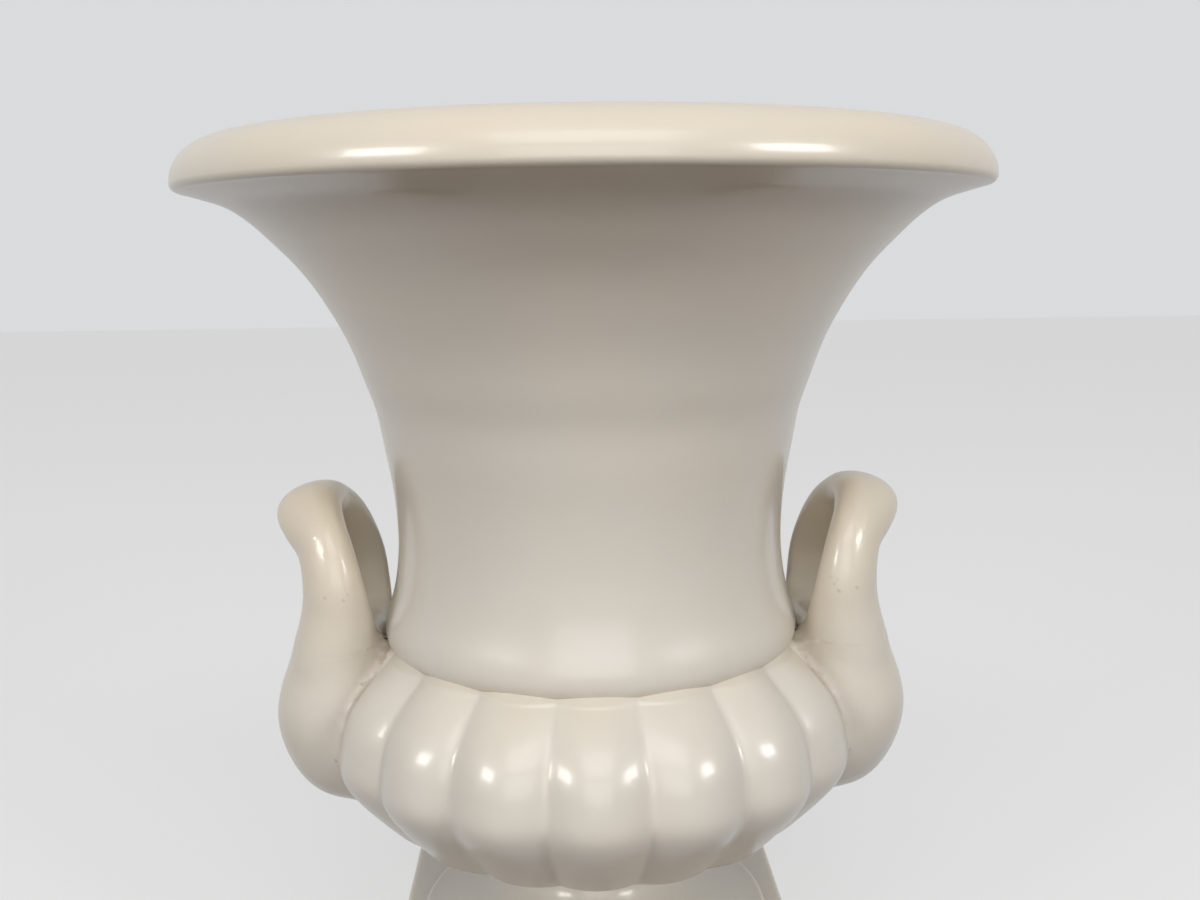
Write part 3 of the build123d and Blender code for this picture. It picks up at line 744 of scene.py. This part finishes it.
flat = FOOT_RADIUS - FOOT_EDGE / 2
side = [(STEM_WAIST + f * (FOOT_RADIUS - STEM_WAIST), FOOT_BASE + h * (FOOT_TOP - FOOT_BASE)) for h, f in FOOT_OUTLINE]
edge = np.concatenate([quarter((flat, FOOT_BASE + FOOT_EDGE / 2), (FOOT_EDGE / 2, FOOT_EDGE / 2), -90, 8),
                       quarter((flat, FOOT_BASE + FOOT_EDGE / 2), (FOOT_EDGE / 2, FOOT_EDGE / 2), 0, 8)[1:]])
flare = spline([tuple(edge[-1])] + side + [(STEM_RADIUS, FOOT_TOP)], 60)
hollow = quarter((12, FOOT_BASE), (FOOT_HOLLOW_RADIUS - 12, FOOT_HOLLOW_HEIGHT), 0, 14)[::-1]
foot_profile = np.concatenate([
    [(AXIS_GAP, FOOT_BASE + FOOT_HOLLOW_HEIGHT), (6, FOOT_BASE + FOOT_HOLLOW_HEIGHT)], hollow,
    [(FOOT_HOLLOW_RADIUS, FOOT_BASE - TENON_DEPTH), (TENON_RADIUS, FOOT_BASE - TENON_DEPTH), (TENON_RADIUS, FOOT_BASE)],
    edge, flare[1:],
    [(SOCKET_RADIUS, FOOT_TOP), (SOCKET_RADIUS, FOOT_TOP - SOCKET_DEPTH), (AXIS_GAP, FOOT_TOP - SOCKET_DEPTH)],
])
round_foot = turned("foot_and_stem", foot_profile, 192, BASE_GLAZE)
p = points_of(round_foot)
r = np.hypot(p[:, 0], p[:, 1])
# Lighter and warmer on the foot's rounded edge.
mark(round_foot, "thin", 0.35 * (r > flat))
# Painted shade: a dark band where the foot's edge stands on the plinth.
mark(round_foot, "crevice", 0.5 * np.exp(-np.abs(p[:, 2] - FOOT_BASE) / 0.8) * (r > TENON_RADIUS))

# Square plinth


def rounded_square(half, corner, count):
    """Points round a square with round corners, evenly spaced from the middle of its +X side."""
    fine = np.radians(np.linspace(0, 90, 24))
    run = []
    for k in range(4):
        a = k * math.pi / 2
        c = np.array([half - corner, half - corner])
        arc = c + corner * np.stack([np.cos(fine), np.sin(fine)], 1)
        turn = np.array([[math.cos(a), -math.sin(a)], [math.sin(a), math.cos(a)]])
        run.append(arc @ turn.T)
    line = np.concatenate([[(half, 0)]] + run + [[(half, 0)]])
    t = np.concatenate([[0], np.cumsum(np.linalg.norm(np.diff(line, axis=0), axis=1))])
    q = np.linspace(0, t[-1], count, endpoint=False)
    return np.stack([np.interp(q, t, line[:, 0]), np.interp(q, t, line[:, 1])], 1)


def circle(radius, count):
    """Points round a circle, from its +X side."""
    a = np.linspace(0, 2 * math.pi, count, endpoint=False)
    return radius * np.stack([np.cos(a), np.sin(a)], 1)


half = PLINTH_WIDTH / 2
recess = half - PLINTH_RIM
web_base, tenon_floor = PLINTH_HEIGHT - PLINTH_WEB, PLINTH_HEIGHT - TENON_DEPTH


def round_ring(radius, height):
    """A ring of the plinth's skin, round its hole."""
    return circle(radius, ROUND_STEPS), height


def square_ring(reach, corner, height):
    """A ring of the plinth's skin, along its square outline."""
    return rounded_square(reach, corner, ROUND_STEPS), height


rings = [round_ring(TENON_RADIUS - 4, tenon_floor), round_ring(TENON_RADIUS - 4, web_base),
         round_ring(TENON_RADIUS - 3, web_base)]
rings += [square_ring(recess - inset, PLINTH_CORNER, height) for inset, height in (
    (4.0, web_base), (1.2, web_base), (0.3, web_base - 0.3), (0.0, web_base - 1.2), (0.0, 1.6), (0.0, 0.7))]
rings += [square_ring(recess + 0.25, PLINTH_CORNER, 0.2), square_ring(recess + 0.8, PLINTH_CORNER, 0.0),
          square_ring(half - 1.6, PLINTH_CORNER - 1, 0.0)]
rings += [square_ring(half - inset, PLINTH_CORNER - 0.6 * inset, height)
          for inset, height in quarter((1.0, 1.0), (-1.0, 1.0), -90, 7)]
rings += [square_ring(half, PLINTH_CORNER, 2.2), square_ring(half, PLINTH_CORNER, PLINTH_HEIGHT - PLINTH_EDGE - 1)]
for a in np.radians(np.linspace(0, 90, 10)):
    inset = PLINTH_EDGE * (1 - math.cos(a))
    height = PLINTH_HEIGHT - PLINTH_EDGE * (1 - math.sin(a))
    rings.append(square_ring(half - inset, PLINTH_CORNER - 0.6 * inset, height))
rings += [square_ring(half - 3.2, PLINTH_CORNER - 1, PLINTH_HEIGHT),
          square_ring(half - 5, PLINTH_CORNER, PLINTH_HEIGHT),
          round_ring(TENON_RADIUS + 1.6, PLINTH_HEIGHT), round_ring(TENON_RADIUS + SLIP_JOINT, PLINTH_HEIGHT),
          round_ring(TENON_RADIUS + SLIP_JOINT, tenon_floor)]
points = np.concatenate([np.concatenate([ring, np.full((ROUND_STEPS, 1), height)], 1) for ring, height in rings])
square_plinth = piece_from("plinth_body", points, ring_faces(len(rings), ROUND_STEPS, True), BASE_GLAZE)
r = np.hypot(points[:, 0], points[:, 1])
# Painted shade: a dark ring on the plinth's top where the foot stands on it.
mark(square_plinth, "crevice", 0.75 * np.exp(-np.abs(r - FOOT_RADIUS + 2) / 1.8) * (points[:, 2] > PLINTH_HEIGHT - 0.1))
reach = np.maximum(np.abs(points[:, 0]), np.abs(points[:, 1]))
# Lighter and warmer along the plinth's upper outer edge.
mark(square_plinth, "thin", 0.75 * np.exp(-(np.maximum(half - reach, 0) + (PLINTH_HEIGHT - points[:, 2])) / 1.5))

for obj, names in ((trumpet_neck, ["trumpet_neck"]), (gadrooned_bowl, ["gadrooned_bowl"]), (round_foot, ["round_foot"]),
                   (square_plinth, ["square_plinth"])):
    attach(obj, "root")
    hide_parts(*names)
for name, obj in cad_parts.items():
    if name.endswith("slip_joint"):
        obj.data.materials.clear()
        obj.data.materials.append(SLIP)

# Camera

PITCH, ROLL, AZIMUTH = math.radians(9.39), math.radians(0.70), math.radians(1.63)
EYE = Vector((-0.00588, -0.31204, 0.1960))
LENS, SENSOR = 36.0, 36.0
ahead = Vector((math.sin(AZIMUTH) * math.cos(PITCH), math.cos(AZIMUTH) * math.cos(PITCH), -math.sin(PITCH)))
level = ahead.cross(Vector((0, 0, 1))).normalized()
below = ahead.cross(level)
right = level * math.cos(ROLL) + below * math.sin(ROLL)
down = ahead.cross(right)
camera = bpy.data.objects.new("camera", bpy.data.cameras.new("camera"))
camera.data.lens, camera.data.sensor_width = LENS, SENSOR
camera.data.clip_start = 0.01
camera.matrix_world = Matrix(((right.x, -down.x, -ahead.x, EYE.x), (right.y, -down.y, -ahead.y, EYE.y),
                              (right.z, -down.z, -ahead.z, EYE.z), (0, 0, 0, 1)))
bpy.context.scene.collection.objects.link(camera)
bpy.context.scene.camera = camera

# Studio


def seen_rays(tree):
    """1 for rays that see a surface straight, in a mirror or through glass, 0 for those that light the vase."""
    path = node(tree, "ShaderNodeLightPath", (-900, 0))
    seen = math_node(tree, "MAXIMUM", path.outputs["Is Camera Ray"], path.outputs["Is Transmission Ray"])
    return math_node(tree, "MAXIMUM", seen, path.outputs["Is Glossy Ray"])


floor_mesh = bpy.data.meshes.new("floor")
floor_mesh.from_pydata([(-3, -3, 0), (3, -3, 0), (3, 3, 0), (-3, 3, 0)], [], [(0, 1, 2, 3)])
floor = bpy.data.objects.new("floor", floor_mesh)
bpy.context.scene.collection.objects.link(floor)
paper = bpy.data.materials.new("paper")
paper.use_nodes = True
seen = seen_rays(paper.node_tree)
paper_tone = mix_colours(paper.node_tree, seen, tone(80, 66, 60), tone(150, 150, 150))
paper_glow = mix_colours(paper.node_tree, seen, (0, 0, 0, 1), (0.55, 0.55, 0.55, 1))
shader = paper.node_tree.nodes["Principled BSDF"]
paper.node_tree.links.new(paper_tone, shader.inputs["Base Color"])
paper.node_tree.links.new(paper_glow, shader.inputs["Emission Color"])
shader.inputs["Emission Strength"].default_value = 1.0
shader.inputs["Roughness"].default_value = 0.9
floor_mesh.materials.append(paper)


def soft_lamp(name, azimuth, height, distance, size, power, aim):
    """A wide lamp at an azimuth from the camera's side, aimed at a point."""
    data = bpy.data.lights.new(name, "AREA")
    data.shape, data.size, data.size_y, data.energy = "RECTANGLE", size, 0.65 * size, power
    lamp = bpy.data.objects.new(name, data)
    a = math.radians(azimuth)
    lamp.location = (distance * math.sin(a), -distance * math.cos(a), height)
    lamp.rotation_euler = (Vector(aim) - lamp.location).to_track_quat("-Z", "Y").to_euler()
    bpy.context.scene.collection.objects.link(lamp)


soft_lamp("left_lamp", -52, 0.60, 1.1, 0.42, 4.4, (0, 0, 0.12))
soft_lamp("right_lamp", 52, 0.60, 1.1, 0.42, 4.4, (0, 0, 0.12))
soft_lamp("upper_front_lamp", 0, 1.15, 0.95, 1.0, 4.8, (0, 0, 0.1))
soft_lamp("lower_front_lamp", 0, 0.45, 1.3, 1.0, 3.8, (0, 0, 0.1))

world = bpy.data.worlds.new("studio")
bpy.context.scene.world = world
world.use_nodes = True
tree = world.node_tree
tree.nodes.clear()
seen = seen_rays(tree)
heading = node(tree, "ShaderNodeSeparateXYZ", (-600, 250))
tree.links.new(node(tree, "ShaderNodeTexCoord", (-800, 250)).outputs["Generated"], heading.inputs[0])
plain = node(tree, "ShaderNodeBackground", (-200, 100), i_Color=(1, 1, 1, 1))
tree.links.new(spread(tree, heading.outputs["Z"], 0.0, 0.9, 0.05, 0.28), plain.inputs["Strength"])
white = node(tree, "ShaderNodeBackground", (-200, -100), i_Color=(0.70, 0.71, 0.72, 1), i_Strength=1.0)
mixed = node(tree, "ShaderNodeMixShader", (100, 0))
world_out = node(tree, "ShaderNodeOutputWorld", (300, 0))
tree.links.new(seen, mixed.inputs[0])
tree.links.new(plain.outputs[0], mixed.inputs[1])
tree.links.new(white.outputs[0], mixed.inputs[2])
tree.links.new(mixed.outputs[0], world_out.inputs[0])

bpy.context.scene.view_settings.view_transform = "Standard"
